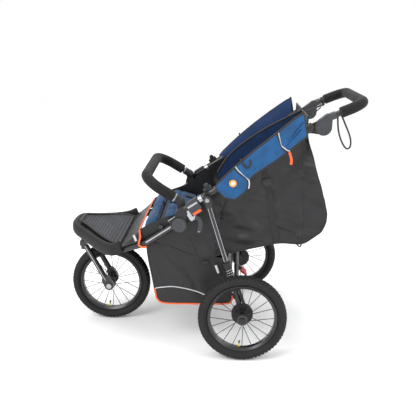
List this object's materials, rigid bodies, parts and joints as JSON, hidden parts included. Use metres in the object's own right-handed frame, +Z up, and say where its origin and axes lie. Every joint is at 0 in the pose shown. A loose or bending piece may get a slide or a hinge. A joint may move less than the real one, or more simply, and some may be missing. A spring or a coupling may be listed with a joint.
{
  "type": "double baby stroller",
  "caption": "Side-by-side double stroller on three air-filled wheels, with a swivelling front fork, sprung rear legs, folding frame, reclining fabric seats, bumper bar and basket.",
  "frame": {"origin": "on the ground under the middle of the overall box", "axes": "+Z up, -Y towards the front wheel, +Y towards the handle, +X towards the children's left"},
  "size_m": [0.72, 1.092, 0.9031],
  "materials": {
    "black_tube": "satin powder coat",
    "black_plastic": "moulded, fine grain",
    "grey_plastic": "moulded, satin",
    "tyre": "moulded rubber with block tread",
    "black_rim": "satin",
    "spoke_steel": "dark coated",
    "black_hub": "moulded",
    "steel": "zinc plated",
    "spring_steel": "polished",
    "foam": "textured foam",
    "blue_fabric": "woven polyester",
    "black_fabric": "coated woven polyester",
    "navy_fabric": "brushed polyester",
    "foot_mat": "ribbed",
    "orange_plastic": "moulded",
    "red_plastic": "moulded",
    "webbing": "woven webbing",
    "board": "pressed board"
  },
  "bodies": {
    "front_frame": {"front_frame_tube": "black_tube", "steering_head": "black_tube", "hinge_housings": "black_plastic", "hinge_pins": "steel", "hinge_caps": "grey_plastic", "bumper_sockets": "black_plastic", "seat_frame": "black_tube", "seat_deck": "board", "seat_pads": "navy_fabric", "calf_panel": "blue_fabric", "footwell_shell": "black_fabric", "footwell_mat": "foot_mat", "side_panels": "black_fabric", "basket": "black_fabric"},
    "fork": {"fork_crown": "black_tube", "fork_legs": "black_tube", "front_axle": "steel"},
    "front_wheel": {"front_tyre": "tyre", "front_rim": "black_rim", "front_spokes": "spoke_steel", "front_hub": "black_hub"},
    "upper_frame": {"upper_frame_tubes": "black_tube", "tube_brackets": "black_plastic", "lock_housings": "grey_plastic", "leg_brackets": "black_tube", "handle_knuckles": "black_plastic", "wings": "blue_fabric", "gussets": "black_fabric", "rear_drop": "black_fabric", "seat_divider": "navy_fabric", "brake_cable": "black_plastic"},
    "lock_left": {"fold_lock_left": "orange_plastic"},
    "lock_right": {"fold_lock_right": "orange_plastic"},
    "handlebar": {"handle_tube": "black_tube", "handle_grip": "foam", "handle_discs": "grey_plastic", "brake_lever_clamp": "black_plastic", "wrist_strap": "webbing"},
    "lever": {"brake_lever": "black_plastic"},
    "bumper": {"bumper_tube": "black_tube", "bumper_sleeve": "foam"},
    "rear_legs": {"rear_leg_tubes": "black_tube", "rear_cross_tube": "black_tube", "spring_caps": "black_plastic", "spring_left": "spring_steel", "spring_right": "spring_steel"},
    "pedal": {"brake_pedal": "red_plastic"},
    "carrier_left": {"hub_carrier_left": "black_plastic"},
    "carrier_right": {"hub_carrier_right": "black_plastic"},
    "rear_wheel_left": {"rear_left_tyre": "tyre", "rear_left_rim": "black_rim", "rear_left_spokes": "spoke_steel", "rear_left_hub": "black_hub"},
    "rear_wheel_right": {"rear_right_tyre": "tyre", "rear_right_rim": "black_rim", "rear_right_spokes": "spoke_steel", "rear_right_hub": "black_hub"},
    "backrest_l": {"backrest_left": "navy_fabric"},
    "backrest_r": {"backrest_right": "navy_fabric"},
    "stays": {"lower_stays": "black_tube"}
  },
  "joints": [
    {"name": "frame_fold", "type": "hinge", "parent": "front_frame", "child": "upper_frame", "pos_m": [0, -0.095, 0.472], "axis": [1, 0, 0], "range_deg": [0, 150], "deforming": ["rear_drop", "seat_divider", "gussets"]},
    {"name": "leg_fold", "type": "hinge", "parent": "upper_frame", "child": "rear_legs", "pos_m": [0, 0.00184, 0.56708], "axis": [1, 0, 0], "range_deg": [-85, 0]},
    {"name": "stay_fold", "type": "hinge", "parent": "front_frame", "child": "stays", "pos_m": [0, -0.207, 0.36], "axis": [1, 0, 0], "range_deg": [0, 30]},
    {"name": "fork_swivel", "type": "hinge", "parent": "front_frame", "child": "fork", "pos_m": [0, -0.485, 0.337], "axis": [0, 0, 1], "continuous": true},
    {"name": "front_wheel_spin", "type": "hinge", "parent": "fork", "child": "front_wheel", "pos_m": [0, -0.391, 0.155], "axis": [1, 0, 0], "continuous": true},
    {"name": "handle_height", "type": "hinge", "parent": "upper_frame", "child": "handlebar", "pos_m": [0, 0.39051, 0.80399], "axis": [1, 0, 0], "range_deg": [-50, 22], "deforming": ["brake_cable"]},
    {"name": "lever_squeeze", "type": "hinge", "parent": "handlebar", "child": "lever", "pos_m": [-0.1695, 0.43952, 0.83874], "axis": [0, 0, -1], "range_deg": [0, 14], "stiffness_Nm_per_rad": 0.5, "springref_deg": -8.59},
    {"name": "bumper_pull", "type": "slide", "parent": "front_frame", "child": "bumper", "axis": [0, -0.8526, 0.5225], "range_m": [0, 0.05]},
    {"name": "lock_slide_left", "type": "slide", "parent": "upper_frame", "child": "lock_left", "axis": [0, 0.8387, 0.5446], "range_m": [0, 0.008], "stiffness_N_per_m": 300, "springref_m": -0.003},
    {"name": "lock_slide_right", "type": "slide", "parent": "upper_frame", "child": "lock_right", "axis": [0, 0.8387, 0.5446], "range_m": [0, 0.008], "stiffness_N_per_m": 300, "springref_m": -0.003},
    {"name": "pedal_press", "type": "hinge", "parent": "rear_legs", "child": "pedal", "pos_m": [0, 0.1235, 0.21224], "axis": [1, 0, 0], "range_deg": [-22, 0], "stiffness_Nm_per_rad": 0.6, "springref_deg": 8.59},
    {"name": "suspension_left", "type": "slide", "parent": "rear_legs", "child": "carrier_left", "axis": [0, -0.2864, 0.9581], "range_m": [0, 0.018], "stiffness_N_per_m": 8000, "springref_m": -0.01, "deforming": ["spring_left"]},
    {"name": "rear_wheel_spin_left", "type": "hinge", "parent": "carrier_left", "child": "rear_wheel_left", "pos_m": [0.33, 0.125, 0.155], "axis": [1, 0, 0], "continuous": true},
    {"name": "recline_left", "type": "hinge", "parent": "front_frame", "child": "backrest_l", "pos_m": [0, 0.042, 0.434], "axis": [1, 0, 0], "range_deg": [0, 50]},
    {"name": "suspension_right", "type": "slide", "parent": "rear_legs", "child": "carrier_right", "axis": [0, -0.2864, 0.9581], "range_m": [0, 0.018], "stiffness_N_per_m": 8000, "springref_m": -0.01, "deforming": ["spring_right"]},
    {"name": "rear_wheel_spin_right", "type": "hinge", "parent": "carrier_right", "child": "rear_wheel_right", "pos_m": [-0.33, 0.125, 0.155], "axis": [1, 0, 0], "continuous": true},
    {"name": "recline_right", "type": "hinge", "parent": "front_frame", "child": "backrest_r", "pos_m": [0, 0.042, 0.434], "axis": [1, 0, 0], "range_deg": [0, 50]}
  ],
  "couplings": [
    {"joint": "leg_fold", "follows": "frame_fold", "ratio": -0.56},
    {"joint": "stay_fold", "follows": "frame_fold", "ratio": 0.195}
  ]
}
